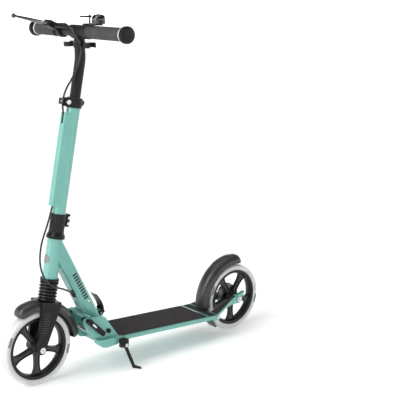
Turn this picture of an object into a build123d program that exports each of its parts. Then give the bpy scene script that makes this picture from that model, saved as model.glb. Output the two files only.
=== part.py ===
from build123d import *
import math
import os

os.makedirs("parts", exist_ok=True)

# Folding kick scooter. Millimetres. -X is forward, +Y is the rider's right, +Z is up.
# The origin is on the ground, on the median plane, midway between the two axles.

# ---------------------------------------------------------------- driving dimensions
wheel_radius = 100.0
wheelbase = 690.0
rake = 10.0             # lean of the steering axis, degrees from upright
fork_offset = 12.0      # axle ahead of the steering axis
deck_slope = 2.6        # the deck falls towards the rear, degrees
gap = 0.3               # clearance between curved faces of different bodies
run = 0.05              # radial running clearance of a shaft in its bore

# wheels
tyre_width = 30.0
tread_flat = 12.0
rim_radius = 84.0
rim_width = 26.0
rim_band = 10.0
hub_radius = 17.0
hub_width = 34.0
spoke_count = 5
spoke_width = 15.0
spoke_thick = 12.0
bearing_radius = 11.0
bearing_width = 7.0
axle_radius = 4.0

# steering column, measured along its axis from the foot of the axis beside the axle
crown_bottom = 107.0
crown_top = 125.0
lower_cup_bottom = 176.0
head_bottom = 184.0
head_top = 289.0
cup_top = 305.0
ring_top = 320.0
clamp_top = 353.0
steer_tube_top = 650.0
keel_bottom = 372.0
keel_top = 612.0
collar_bottom = 626.0
collar_top = 652.0
stem_bend = 752.0
bar_height = 818.0
bar_forward = 16.0

head_radius = 20.0
head_bore = 18.0
steerer_radius = 15.0
stanchion_radius = 12.7
steer_tube_radius = 17.5
stem_radius = 14.0
stem_bore = 11.0
keel_front = 29.0
keel_half = 9.5
clamp_radius = 20.0
cup_radius = 24.5
bellows_radius = 25.0
collar_radius = 20.5

# fork
leg_gap = 20.0          # from the median plane to a leg's inner face
leg_thick = 9.0
leg_end_radius = 13.0
crown_front = 30.0
crown_rear = 28.0

# fold joint, measured from the foot of the steering axis
hinge_along = 50.0
hinge_behind = 176.0
pivot_radius = 5.0
barrel_radius = 13.0
plate_inner = 47.0      # from the median plane to a bracket plate's inner face
plate_thick = 4.0
down_tube_angle = 27.5  # from upright
down_tube_depth = 38.0
down_tube_width = 40.0
down_tube_wall = 3.0
down_tube_ahead = 5.0   # its centre line passes this far ahead of the fold pivot

# deck, in the deck's own frame: the fold pivot is its zero
deck_width = 128.0
deck_top = -19.0
deck_edge = 11.0
deck_keel = 19.0
deck_keel_width = 84.0
deck_wall = 2.5
nose_front = -37.0
nose_rear = 41.0
nose_recess = -9.0      # the nose is cut back to here between its two side prongs
nose_height = 23.0
deck_rear = 372.0
bridge_rear = 386.0
tape_thick = 1.2
tape_margin = 5.0
tape_front = 36.0
strip_start = 350.0
strip_end = 361.0

# rear arms and fender
arm_thick = 12.0
arm_gap = 24.0          # inner face of an arm beside the wheel, from the median plane
fender_inner = 107.0
fender_outer = 131.0
fender_low, fender_high = 80.0, 187.0
fender_half = 24.0
fender_wall = 2.5

# handlebar
bar_radius = 12.7
bar_wall = 2.2
tee_half = 30.0
tee_radius = 16.0
bar_half = 206.0
grip_radius = 16.5
cap_radius = 21.0
cap_length = 14.0
left_grip_start = 47.0
right_grip_start = 96.0
cable_radius = 2.5

# ---------------------------------------------------------------- frames
sin_r, cos_r = math.sin(math.radians(rake)), math.cos(math.radians(rake))
front_axle = Vector(-wheelbase / 2, 0, wheel_radius)
rear_axle = Vector(wheelbase / 2, 0, wheel_radius)
foot_point = front_axle + Vector(cos_r, 0, -sin_r) * fork_offset
column = Plane(origin=foot_point, x_dir=(cos_r, 0, -sin_r), z_dir=(sin_r, 0, cos_r))
pivot_point = column.from_local_coords(Vector(hinge_behind, 0, hinge_along))
slope_s, slope_c = math.sin(math.radians(deck_slope)), math.cos(math.radians(deck_slope))
deck = Plane(origin=pivot_point, x_dir=(slope_c, 0, -slope_s), z_dir=(slope_s, 0, slope_c))
lean_s, lean_c = math.sin(math.radians(down_tube_angle)), math.cos(math.radians(down_tube_angle))
# the down tube's frame: z runs up the tube from the pivot, x points to its rear face
tube = Plane(origin=pivot_point, x_dir=(lean_c, 0, lean_s), z_dir=(-lean_s, 0, lean_c))
axle_on_deck = deck.to_local_coords(rear_axle)


# ---------------------------------------------------------------- helpers
def save(name, shape):
    """Writes one node, which holds one solid or a group of separate solids."""
    solids = shape.solids()
    result = solids[0] if len(solids) == 1 else Compound(children=list(solids))
    result.label = name
    export_step(result, f"parts/{name}.step")


def put(plane, shape):
    return plane.location * shape


def rod(radius, low, high, x=0.0, y=0.0):
    """A round bar along Z."""
    return Pos(x, y, (low + high) / 2) * Cylinder(radius, high - low)


def pipe(outer, inner, low, high, x=0.0, y=0.0):
    return rod(outer, low, high, x, y) - rod(inner, low - 1, high + 1, x, y)


def cross_rod(radius, low, high, x=0.0, z=0.0):
    """A round bar along Y."""
    return Pos(x, (low + high) / 2, z) * Rot(90, 0, 0) * Cylinder(radius, high - low)


def cross_pipe(outer, inner, low, high, x=0.0, z=0.0):
    return cross_rod(outer, low, high, x, z) - cross_rod(inner, low - 1, high + 1, x, z)


def block(x0, x1, y0, y1, z0, z1):
    return Pos((x0 + x1) / 2, (y0 + y1) / 2, (z0 + z1) / 2) * Box(x1 - x0, y1 - y0, z1 - z0)


def side_plate(points, y0, y1, radii=None):
    """A flat piece whose outline is drawn in the XZ plane, from y0 to y1."""
    outline = FilletPolyline(*points, radius=radii, close=True) if radii else Polyline(*points, close=True)
    face = make_face(Plane.XZ * outline)
    return extrude(face, amount=y1 - y0, dir=(0, 1, 0)).moved(Location((0, y0, 0)))


def turned(points, arc=360.0):
    """A body of revolution about Y from an outline of (radius, y) points."""
    face = make_face(Plane.XY * Polyline(*points, close=True))
    return revolve(face, Axis.Y, arc)


def mirrored(shape):
    return mirror(shape, Plane.XZ)


def hex_head(across, low, high, x=0.0, z=0.0):
    """A hexagon bolt head or nut along Y."""
    face = RegularPolygon(across / 2, 6, major_radius=False)
    return Pos(x, low, z) * extrude(Plane.XZ * face, amount=-(high - low))


# ---------------------------------------------------------------- wheels
def tyre():
    lip, bulge = rim_width / 2, tyre_width / 2
    profile = (
        Line((rim_radius, -lip), (rim_radius, lip))
        + ThreePointArc((rim_radius, lip), (wheel_radius - 7, bulge), (wheel_radius, tread_flat / 2))
        + Line((wheel_radius, tread_flat / 2), (wheel_radius, -tread_flat / 2))
        + ThreePointArc((wheel_radius, -tread_flat / 2), (wheel_radius - 7, -bulge), (rim_radius, -lip))
    )
    return revolve(make_face(profile), Axis.Y, 360)


def rim():
    inner, lip = rim_radius - rim_band, rim_width / 2
    band = turned([(inner, -lip + 3), (inner + 3, -lip), (rim_radius, -lip), (rim_radius, lip),
                   (inner + 3, lip), (inner, lip - 3), (inner - 1.5, 0)])
    hub = cross_pipe(hub_radius, bearing_radius, -hub_width / 2, hub_width / 2)
    half, flare = spoke_width / 2, spoke_width / 2 + 6
    spoke = side_plate([(hub_radius - 3, -half), (inner - 20, -half), (inner + 1, -flare),
                        (inner + 1, flare), (inner - 20, half), (hub_radius - 3, half)],
                       -spoke_thick / 2, spoke_thick / 2)
    shape = band + hub
    for turn in range(spoke_count):
        shape += Rot(0, 90 + turn * 360 / spoke_count, 0) * spoke
    return shape


def bearings():
    outer = hub_width / 2
    one = cross_pipe(bearing_radius, axle_radius + run, outer - bearing_width, outer)
    half = outer - bearing_width - 0.5
    spacer = cross_pipe(axle_radius + 2.5, axle_radius + run, -half, half)
    return Compound(children=[one, mirrored(one), spacer])


def axle_bolt(half_width):
    """A bolt through both sides with a round head, a hexagon nut and two washers."""
    shank = cross_rod(axle_radius, -half_width, half_width + 4)
    head = cross_rod(axle_radius + 4, -half_width - 4, -half_width) - Pos(0, -half_width - 4, 0) * Rot(
        90, 0, 0) * extrude(RegularPolygon(2.5, 6), amount=2.2, both=True)
    return shank + head + hex_head(13, half_width, half_width + 5)


def axle_washers(inner_face):
    one = cross_pipe(axle_radius + 3, axle_radius, hub_width / 2 + gap, inner_face)
    return [one, mirrored(one)]


drum_radius, drum_depth = 34.0, 20.0
brake_drum = cross_pipe(drum_radius, drum_radius - 8, spoke_thick / 2 - 1, drum_depth)
for end, centre, inside, thick in (("front", front_axle, leg_gap, leg_thick), ("rear", rear_axle, arm_gap, arm_thick)):
    place = Pos(centre)
    save(f"{end}_tyre", place * tyre())
    save(f"{end}_rim", place * (rim() if end == "front" else rim() + brake_drum))
    save(f"{end}_bearings", place * bearings())
    save(f"{end}_axle_bolt", place * Compound(children=[axle_bolt(inside + thick), *axle_washers(inside)]))


# ---------------------------------------------------------------- fork
def fork_leg():
    """The right leg: broad at the crown and round at the axle."""
    inner, outer = leg_gap, leg_gap + leg_thick
    blade = side_plate([(-crown_front, crown_top), (crown_rear, crown_top), (crown_rear - 2, crown_bottom),
                        (-fork_offset + leg_end_radius - 1, 3), (-fork_offset - leg_end_radius + 1, 3),
                        (-crown_front + 1, crown_bottom)], inner, outer)
    end = cross_rod(leg_end_radius, inner, outer, -fork_offset)
    return blade + end - cross_rod(axle_radius, inner - 1, outer + 1, -fork_offset)


def fender_shell(low, high):
    """A channel round the wheel, from one angle to another, counted up from the rear."""
    r0, r1, half, wall = fender_inner - 3, fender_outer - 3, fender_half, fender_wall
    shell = turned([(r0, half), (r1 - 7, half), (r1, half - 6), (r1, -half + 6), (r1 - 7, -half), (r0, -half),
                    (r0, -half + wall), (r1 - 8, -half + wall), (r1 - wall, -half + 7),
                    (r1 - wall, half - 7), (r1 - 8, half - wall), (r0, half - wall)], high - low)
    return Rot(0, -high, 0) * shell


crown = block(-crown_front, crown_rear, -leg_gap, leg_gap, crown_bottom, crown_top)
crown += rod(stanchion_radius, crown_bottom, head_top + 8)
save("fork_crown", put(column, crown - rod(9.5, crown_bottom - 1, head_top + 9)))
right_leg = put(column, fork_leg())
save("fork_legs", Compound(children=[right_leg, mirrored(right_leg)]))

crown_room = put(column, block(-crown_front, crown_rear, -60, 60, 0, 200))
fender_parts = [Pos(front_axle) * fender_shell(low, high) - crown_room for low, high in ((84, 121), (3, 68))]
save("front_fender", Compound(children=fender_parts))

spring_turns = 6
seat_bottom = lower_cup_bottom - 8
spring_low, spring_high = crown_top + 2.2, seat_bottom - 2.2
spring_path = Helix((spring_high - spring_low) / spring_turns, spring_high - spring_low, 16.8)
spring_wire = sweep(Plane(origin=spring_path @ 0, z_dir=spring_path % 0) * Circle(1.6), spring_path, is_frenet=True)
save("suspension_spring", put(column, Pos(0, 0, spring_low) * spring_wire))


def bellows():
    """A rubber sleeve with round folds over the spring."""
    folds, low, high = 6, crown_top, lower_cup_bottom - 0.5
    pitch, wall, depth = (high - low) / folds, 1.4, 3.6
    outside, inside = [], []
    for fold in range(folds):
        base = low + fold * pitch
        outside += [(bellows_radius - depth, base), (bellows_radius, base + pitch / 2)]
        inside += [(bellows_radius - depth - wall, base), (bellows_radius - wall, base + pitch / 2)]
    outside.append((bellows_radius - depth, high))
    inside.append((bellows_radius - depth - wall, high))
    face = make_face(Plane.XZ * Polyline(*(outside + inside[::-1]), close=True))
    return revolve(face, Axis.Z, 360)


save("fork_bellows", put(column, bellows()))

# ---------------------------------------------------------------- steerer
clamp_slit = 2.0
steerer = rod(steerer_radius, seat_bottom, clamp_top - 3) + rod(19.4, seat_bottom, lower_cup_bottom - gap)
save("steerer_tube", put(column, steerer - rod(stanchion_radius + run, seat_bottom - 1, clamp_top)))
save("headset_lock_ring", put(column, pipe(clamp_radius, steerer_radius, cup_top + gap, ring_top)))
ears = block(clamp_radius - 4, clamp_radius + 12, -8, 8, ring_top, clamp_top)
stem_clamp = pipe(clamp_radius, steerer_radius, ring_top, clamp_top - 3) + rod(
    clamp_radius, clamp_top - 3, clamp_top) + ears - rod(stem_radius + gap, clamp_top - 3, clamp_top + 1)
stem_clamp -= rod(steerer_radius, ring_top - 1, clamp_top - 3)
stem_clamp -= block(0, clamp_radius + 20, -clamp_slit / 2, clamp_slit / 2, ring_top - 1, clamp_top + 1)
clamp_bolt_x = clamp_radius + 6
bolt_heights = [ring_top + 9, clamp_top - 9]
for height in bolt_heights:
    stem_clamp -= cross_rod(2.5, -20, 20, clamp_bolt_x, height)
save("stem_clamp", put(column, stem_clamp))
clamp_bolts = []
for height in bolt_heights:
    bolt = cross_rod(2.5, -8, 10, clamp_bolt_x, height) + cross_rod(4.5, -13, -8, clamp_bolt_x, height)
    clamp_bolts.append(put(column, bolt + hex_head(8, 8, 12, clamp_bolt_x, height)))

keel_side = math.sqrt(steer_tube_radius ** 2 - 3 ** 2)
keel_outline = Polyline((-keel_front, -keel_half), (-keel_front, keel_half), (-3, keel_side), (-3, -keel_side),
                        close=True)
keel = Pos(0, 0, keel_bottom) * extrude(make_face(keel_outline), amount=keel_top - keel_bottom)
channel_x = -22.5
channel = block(-keel_front + 2.5, -steer_tube_radius - 0.2, -6.5, 6.5, keel_bottom - 1, keel_top + 1)
steering_tube = rod(steer_tube_radius, clamp_top, steer_tube_top) + keel - channel
steering_tube -= block(-keel_front - 1, -steer_tube_radius - 2, -4, 4, keel_top - 28, keel_top + 1)
steering_tube -= rod(stem_radius + run, clamp_top - 1, steer_tube_top + 1)
steering_tube -= block(-steer_tube_radius - 2, 0, -1.5, 1.5, keel_top + 3, steer_tube_top + 1)
save("steering_tube", put(column, steering_tube))

# height collar with its quick release at the front
collar_bolt_x, collar_front = -collar_radius - 4.5, -collar_radius - 10
collar = pipe(collar_radius, steer_tube_radius, collar_bottom, steer_tube_top) + pipe(
    collar_radius, stem_radius + gap, steer_tube_top, collar_top)
collar += block(collar_front, -steer_tube_radius - 1, -10, 10, collar_bottom + 2, collar_top - 2)
collar -= block(collar_front - 1, -stem_radius, -1.5, 1.5, collar_bottom - 1, collar_top + 1)
collar_mid = (collar_bottom + collar_top) / 2
collar -= cross_rod(3, -30, 30, collar_bolt_x, collar_mid)
save("height_collar", put(column, collar))
cam_y = 17.0
skewer = cross_rod(3, -13, cam_y + 4, collar_bolt_x, collar_mid) + cross_rod(6, -14.5, -10, collar_bolt_x, collar_mid)
skewer -= rod(2, collar_mid - 12, collar_mid + 12, collar_bolt_x, cam_y)
cam_pin = rod(2, collar_mid - 8, collar_mid + 8, collar_bolt_x, cam_y)
save("column_bolts", Compound(children=[*clamp_bolts, put(column, skewer), put(column, cam_pin)]))
lever_y = cam_y + 6
lever = rod(7, collar_mid - 8, collar_mid + 8, collar_bolt_x, cam_y)
lever += side_plate([(collar_bolt_x - 4, collar_mid - 8), (44, collar_mid - 7), (48, collar_mid + 3),
                     (44, collar_mid + 8), (collar_bolt_x - 4, collar_mid + 8)], lever_y - 1, lever_y + 4)
lever -= rod(8, collar_mid - 4, collar_mid + 4, collar_bolt_x, cam_y)
lever -= rod(2 + run, collar_mid - 12, collar_mid + 12, collar_bolt_x, cam_y)
save("collar_lever", put(column, lever))


# ---------------------------------------------------------------- handlebar
bar_point = column.from_local_coords(Vector(-bar_forward, 0, bar_height))
bar = Plane(origin=bar_point, x_dir=(1, 0, 0), z_dir=(0, 0, 1))
stem_bottom = 445.0
stem_route = Plane.XZ * FilletPolyline((0, stem_bottom), (0, stem_bend), (-bar_forward, bar_height), radius=120)
stem_end = Plane(origin=(0, 0, stem_bottom), z_dir=(0, 0, 1))
stem = sweep(stem_end * Circle(stem_radius), stem_route) - sweep(stem_end * Circle(stem_bore), stem_route)
stem -= cross_rod(tee_radius, -40, 40, -bar_forward, bar_height)
save("stem_tube", put(column, max(stem.solids(), key=lambda solid: solid.volume)))

button_y = 23.0
button_reach = 18.3


def lock_button(side):
    return rod(3.5, bar_height - button_reach, bar_height - bar_radius - 0.2, -bar_forward, side * button_y)


tee = cross_pipe(tee_radius, bar_radius + run, -tee_half, tee_half, -bar_forward, bar_height)
for side in (-1, 1):
    tee -= rod(3.5 + run, bar_height - 20, bar_height, -bar_forward, side * button_y)
save("bar_tee", put(column, tee))
save("left_button", put(column, lock_button(-1)))
save("right_button", put(column, lock_button(1)))

# two open clips behind the stem that take the pulled-out grips
clip_height = 786.0
clip_shift = -bar_forward * (clip_height - stem_bend) / (bar_height - stem_bend)
stem_up = (-bar_forward, 0, bar_height - stem_bend)
clip_plane = Plane(origin=(clip_shift, 0, clip_height), x_dir=(1, 0, bar_forward / (bar_height - stem_bend)),
                   z_dir=stem_up)
clips = rod(16, -7, 7) + block(-3.5, 3.5, -32, 32, -4, 4)
for side in (-1, 1):
    clips += pipe(15.8, bar_radius + 0.1, -6, 6, 0, side * 44) - block(-9, 9, min(side * 50, side * 70),
                                                                      max(side * 50, side * 70), -7, 7)
    clips -= rod(bar_radius + 0.1, -7, 7, 0, side * 44)
clips -= rod(stem_radius, -8, 8)
save("grip_clips", put(column, clip_plane.location * clips))


# ---------------------------------------------------------------- bar halves, world-aligned at the bar's centre
button_line = Rot(0, rake, 0)


def bar_tube(side):
    tube_shape = cross_pipe(bar_radius, bar_radius - bar_wall, 4, bar_half - 6)
    tube_shape -= button_line * rod(3.9, -20, 0, 0, button_y)
    return tube_shape if side > 0 else mirrored(tube_shape)


def end_cap(side):
    """A closed cap with a narrower ring where it meets the grip."""
    ring_start = bar_half - cap_length - 4
    cap = cross_rod(grip_radius + 1, ring_start, bar_half - cap_length) + cross_rod(
        cap_radius, bar_half - cap_length, bar_half)
    cap -= cross_rod(bar_radius, ring_start - 1, bar_half - 6)
    return cap if side > 0 else mirrored(cap)


grip_end = bar_half - cap_length - 4
for side, name, start in ((-1, "left", left_grip_start), (1, "right", right_grip_start)):
    grip = cross_pipe(grip_radius, bar_radius, start, grip_end)
    save(f"{name}_bar_tube", put(bar, bar_tube(side)))
    save(f"{name}_grip", put(bar, grip if side > 0 else mirrored(grip)))
    save(f"{name}_grip_cap", put(bar, end_cap(side)))

bell_x, bell_y, bell_radius = 7.0, -75.0, 17.5
post_x, post_y = -4.0, -53.0
bell_base = cross_pipe(18, bar_radius, -46, -32) + block(-11, 15, -46, -32, 12, 21)
bell_base += block(-8, 16, -80, -40, 17.5, 21) - cross_rod(bar_radius, -47, -31)
bell_base += rod(2, 20, 44, post_x, post_y)
save("bell_base", put(bar, bell_base - cross_rod(bar_radius, -47, -31)))
dome = rod(bell_radius, 21, 45, bell_x, bell_y)
save("bell_dome", put(bar, fillet(dome.edges().group_by(Axis.Z)[-1], 5)))
thumb = pipe(4.5, 2 + run, 36, 41, post_x, post_y) + block(-28, -8, -52, -44, 36.5, 40.5)
thumb += block(-12, -3, -56, -47, 36.5, 40.5) - rod(2 + run, 30, 44, post_x, post_y)
save("bell_lever", put(bar, thumb - rod(2 + run, 30, 44, post_x, post_y)))

# brake lever, in a plane that rises forward of the bar: x is forward, y to the right, z is down
lever_tilt = 24.0
lever_s, lever_c = math.sin(math.radians(lever_tilt)), math.cos(math.radians(lever_tilt))
lever_plane = Plane(origin=bar_point, x_dir=(-lever_c, 0, lever_s), z_dir=(-lever_s, 0, -lever_c))
brake_pivot_x, brake_pivot_y = 40.0, 88.0
perch = cross_pipe(18, bar_radius, 66, 82) + block(10, 48, 66, 95, -8, 8)
perch = perch - block(17, 49, 79.8, 96, -4.4, 4.4) - cross_rod(bar_radius, 60, 100) - block(-1, 14, 82, 96, -9, 9)
perch += rod(2.5, -8, 8, brake_pivot_x, brake_pivot_y)
save("brake_perch", put(lever_plane, perch))
blade_outline = Spline((44, 84), (52, 105), (67, 145), (84, 186)) + Line((84, 186), (77, 190)) + Spline(
    (77, 190), (59, 148), (43, 108), (34, 92)) + Line((34, 92), (44, 84))
blade = Pos(0, 0, -4) * extrude(make_face(blade_outline), amount=8)
brake_lever = rod(7.5, -4, 4, brake_pivot_x, brake_pivot_y) + blade + rod(6.5, -5, 5, 82, 190)
brake_lever -= rod(2.5 + run, -9, 9, brake_pivot_x, brake_pivot_y)
save("brake_lever", put(lever_plane, brake_lever))
boot_start, boot_end = Vector(30, 67, 0), Vector(25, 12, 0)
boot_way = Plane(origin=boot_start, z_dir=boot_end - boot_start)
boot_length = (boot_end - boot_start).length
boot = boot_way.location * Pos(0, 0, boot_length / 2) * Cone(6, 3.6, boot_length) - block(0, 60, 66, 80, -9, 9)
save("brake_boot", put(lever_plane, boot))
boot_tip = lever_plane.from_local_coords(boot_end)
boot_ahead = lever_plane.from_local_coords(boot_end + (boot_end - boot_start).normalized() * 12)


# ---------------------------------------------------------------- brake cable
def cable_path(points):
    """Straight runs joined by tangent arcs, each as large as the shorter run beside it allows."""
    radii = []
    for before, here, after in zip(points, points[1:], points[2:]):
        a, b = here - before, after - here
        radii.append(0.45 * min(a.length, b.length) / math.tan(math.radians(a.get_angle(b)) / 2))
    return FilletPolyline(*points, radius=radii), radii


def cable_tube(path, radius):
    return sweep(Plane(origin=path @ 0, z_dir=path % 0) * Circle(radius), path)


def in_frame(plane, points):
    return [plane.from_local_coords(Vector(*point)) for point in points]


# from the brake lever down to the steering tube, along its keel, and round the head tube to the down tube
upper_points = [boot_tip, boot_ahead] + in_frame(column, [
    (-37.5, -9, 815), (-29, -16, 801), (-16, -17.5, 784), (-12, -16.5, 765), (-12, -15, 745),
    (-15.5, -12, 720), (-24, -7, 694), (-32, -3, 672), (-35, 0, 652), (-35.5, 0, 634), (-29.5, 0, 612), (-23, 0, 592),
    (channel_x, 0, 570), (channel_x, 0, 385), (-25, -1, 358), (-33, -4, 321), (-43.8, -9, 291.5), (-50.4, -14, 264),
    (-53, -22, 231), (-47, -30, 204), (-33, -36, 182), (-14, -38, 170), (5, -36, 166), (27, -32, 161)]) + in_frame(
    tube, [(-37.3, -24, 158.4), (-29.5, -19.5, 147)])
# down inside the down tube, past the fold pivot, through the deck and out to the rear brake
lower_points = in_frame(tube, [
    (-29.5, -19.5, 147), (-20.4, -14.25, 133.7), (-9, -10, 112), (-8, -8, 62), (-11, -5, 40), (-17, 0, 22)]) + in_frame(
    deck, [(-27, 5, 1), (-27, 11, -16), (-15, 17, -27.5), (8, 21.5, -29.5), (30, 22, -29), (340, 22, -28),
           (368, 21.5, -26), (394.5, 20.5, -21.8), (420, 20, -17.5), (441.5, 18.2, -14.5)])
upper_path, upper_radii = cable_path(upper_points)
lower_path, lower_radii = cable_path(lower_points)
upper_cable, lower_cable = cable_tube(upper_path, cable_radius), cable_tube(lower_path, cable_radius)
cable_room = cable_tube(lower_path, cable_radius + 0.4)
save("brake_cable_upper", upper_cable)
save("brake_cable_lower", lower_cable)
for name, path, radii, shape in (("upper", upper_path, upper_radii, upper_cable),
                                 ("lower", lower_path, lower_radii, lower_cable)):
    print(f"{name} cable length {path.length:.0f}, bend radii", [round(radius) for radius in radii],
          f"volume over section times length {shape.volume / (math.pi * cable_radius ** 2 * path.length):.4f}")


# ---------------------------------------------------------------- front frame
tube_foot = 33.0
half_depth, half_width = down_tube_depth / 2, down_tube_width / 2
tube_outer = extrude(RectangleRounded(down_tube_depth, down_tube_width, 8), amount=300)
tube_inner = extrude(RectangleRounded(down_tube_depth - 2 * down_tube_wall, down_tube_width - 2 * down_tube_wall, 5),
                     amount=300)
tube_solid = put(tube, Pos(-down_tube_ahead, 0, tube_foot) * (tube_outer - tube_inner))
tube_solid -= put(column, rod(head_radius, 100, 420))
tube_solid = min(tube_solid.solids(), key=lambda solid: solid.center().Z)
save("down_tube", tube_solid - cable_room)

save("head_tube", put(column, pipe(head_radius, head_bore, head_bottom, head_top)))
lower_cup = pipe(cup_radius, steerer_radius + gap, lower_cup_bottom, head_bottom)
lower_cup += pipe(head_bore, steerer_radius + run, head_bottom - 1, head_bottom + 9)
cup_cone = Pos(0, 0, (head_top + cup_top) / 2 + 3) * Cone(cup_radius, clamp_radius, cup_top - head_top - 6)
upper_cup = cup_cone + rod(cup_radius, head_top, head_top + 6) + rod(head_bore, head_top - 9, head_top)
upper_cup -= rod(steerer_radius + run, head_top - 10, head_top) + rod(steerer_radius + gap, head_top, cup_top + 1)
save("headset_cups", Compound(children=[put(column, lower_cup), put(column, upper_cup)]))
badge_height = 234.0
badge_line = Pos(-20, 0, badge_height) * Rot(0, 90, 0) * Cylinder(12, 30)
save("head_badge", put(column, pipe(head_radius + 1, head_radius, 200, 270) & badge_line))

# hinge foot: a plug in the down tube, a neck and the barrel that turns between the bracket plates
front_x, rear_x = -down_tube_ahead - half_depth, -down_tube_ahead + half_depth
neck = side_plate([(front_x, tube_foot), (rear_x, tube_foot), (rear_x, 22), (10, 0), (-10, -6), (front_x + 4, 12)],
                  -half_width, half_width)
plug = Pos(-down_tube_ahead, 0, tube_foot) * extrude(
    RectangleRounded(down_tube_depth - 2 * down_tube_wall, down_tube_width - 2 * down_tube_wall, 5), amount=26)
lug = block(rear_x - 2, 27, -7, 7, 23, tube_foot) + block(rear_x, 27, -7, 7, tube_foot - 1, 37)
pedal_x, pedal_s = 22.0, 30.0
hinge_foot = neck + plug + cross_rod(barrel_radius, -plate_inner + gap, plate_inner - gap)
hinge_foot += lug + cross_rod(3, -12, 12, pedal_x, pedal_s)
hinge_foot = put(tube, hinge_foot - cross_rod(pivot_radius + run, -60, 60))
save("hinge_foot", hinge_foot - cable_room)

pedal = side_plate([(30, 24), (34, 24), (38, 55), (36, 88), (32, 88), (34, 55)], -13, 13)
for side in (-1, 1):
    low, high = sorted((side * 8, side * 12))
    pedal += side_plate([(19, 24), (31, 24), (36, 42), (20, 37)], low, high)
    pedal -= cross_rod(3 + run, low - 0.5, high + 0.5, pedal_x, pedal_s)
save("release_pedal", put(tube, pedal))

# two fittings on the down tube: a crossbar that bears on both halves of the lock rod, and a clip for the brake cable
saddle = side_plate([(front_x, 56), (front_x, 80), (front_x - 6, 77), (front_x - 9.5, 73), (front_x - 9.5, 61),
                     (front_x - 6, 58)], -44, 44)
gland = put(tube, block(front_x - 8, front_x, -20, -9, 131, 149)) - cable_room - cable_tube(
    upper_path, cable_radius + 0.4)
save("down_tube_fittings", Compound(children=[put(tube, saddle), gland]))


# ---------------------------------------------------------------- deck
def along_deck(points, x0, x1):
    """A bar along the deck whose section is drawn as (y, z) points."""
    face = make_face(Plane.YZ * Polyline(*points, close=True))
    return Pos(x0, 0, 0) * extrude(face, amount=x1 - x0, dir=(1, 0, 0))


half_deck, half_keel = deck_width / 2, deck_keel_width / 2
edge_low, keel_low = deck_top - deck_edge, deck_top - deck_keel
section = [(-half_deck, deck_top), (half_deck, deck_top), (half_deck, edge_low), (half_keel + 4, edge_low),
           (half_keel, keel_low), (-half_keel, keel_low), (-half_keel - 4, edge_low), (-half_deck, edge_low)]
board = along_deck(section, nose_rear, deck_rear)
hollow_top, rib_y = deck_top - deck_wall, 14.0
cavities = [(-half_keel + 3, -rib_y - 1, keel_low), (-rib_y + 1, rib_y - 1, keel_low), (rib_y + 1, half_keel - 3, keel_low),
            (-half_deck + 3, -half_keel - 5, edge_low), (half_keel + 5, half_deck - 3, edge_low)]
for y0, y1, low in cavities:
    board -= block(nose_rear - 1, deck_rear + 1, y0, y1, low + deck_wall, hollow_top)
save("deck_board", put(deck, board))

nose = side_plate([(nose_front, deck_top), (nose_rear, deck_top), (nose_rear, edge_low), (22, keel_low),
                   (-8, deck_top - nose_height), (-26, keel_low - 1), (nose_front, edge_low)],
                  -half_deck, half_deck)
front_corners = nose.edges().filter_by(Axis.Z).group_by(Axis.X)[0]
nose = fillet(front_corners, 8)
nose -= block(nose_front - 1, nose_recess, -40, 40, -60, deck_top + 1)
nose -= side_plate([(nose_recess + 4, -22), (nose_rear + 1, -22), (nose_rear + 1, edge_low + 2), (22, keel_low + 2.5),
                    (nose_recess + 4, -39)], -34, 34)
save("deck_nose", put(deck, nose) - cable_room)

bracket_outline = [(-78, 45), (-20, 44), (-10, 38), (6, 16), (34, deck_top), (-31, deck_top), (-62, 2), (-82, 33)]
rod_x, rod_z = -68.0, 38.0
bracket = block(-30, 30, -plate_inner - plate_thick, plate_inner + plate_thick, deck_top, deck_top + 3)
for low in (-plate_inner - plate_thick, plate_inner):
    bracket += side_plate(bracket_outline, low, low + plate_thick)
bracket -= cross_rod(pivot_radius, -60, 60) + cross_rod(5.5, -60, 60, rod_x, rod_z)
spacer_x, spacer_z = -58.0, 8.0
save("fold_bracket", put(deck, bracket) - cable_room)

plate_outer = plate_inner + plate_thick
pivot_bolt = cross_rod(pivot_radius, -plate_outer, plate_outer)
for low in (-plate_outer - 4, plate_outer):
    head = cross_rod(6.5, low, low + 4)
    pivot_bolt += head
socket = Pos(0, -plate_outer - 4, 0) * Rot(90, 0, 0) * extrude(RegularPolygon(3, 6), amount=2.5, both=True)
save("fold_pivot_bolt", put(deck, pivot_bolt - socket))

# lock rod, with the cam lever on its left end
lever_dir = Vector(44, 0, -39).normalized()
cam_plane = Plane(origin=(rod_x, -60.5, rod_z), x_dir=lever_dir, z_dir=(-lever_dir.Z, 0, lever_dir.X))
rod_gap = 29.0          # the lock rod is in two halves, so that the front fender folds up between them
lock_rod = cross_rod(5.5, -53, -rod_gap, rod_x, rod_z) + cross_rod(3, -60.5, -52, rod_x, rod_z)
lock_rod += cross_rod(5.5, rod_gap, plate_outer + 3, rod_x, rod_z)
lock_rod += cross_rod(8, plate_outer, plate_outer + 5, rod_x, rod_z)
lock_rod += cam_plane.location * (rod(4.2, -3, 3) + rod(2.5, -7, 7))
save("lock_rod", put(deck, lock_rod))
cam_head = rod(6.6, -7, 7) - rod(10, -3.3, 3.3)
cam_blade = block(5.2, 58, -3, 3.5, -7, 7) + Pos(58, 0.25, 0) * Rot(90, 0, 0) * Cylinder(7, 6.5)
cam_lever = cam_head + cam_blade - rod(2.5 + run, -8, 8)
save("lock_lever", put(deck, cam_plane.location * cam_lever))

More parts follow.
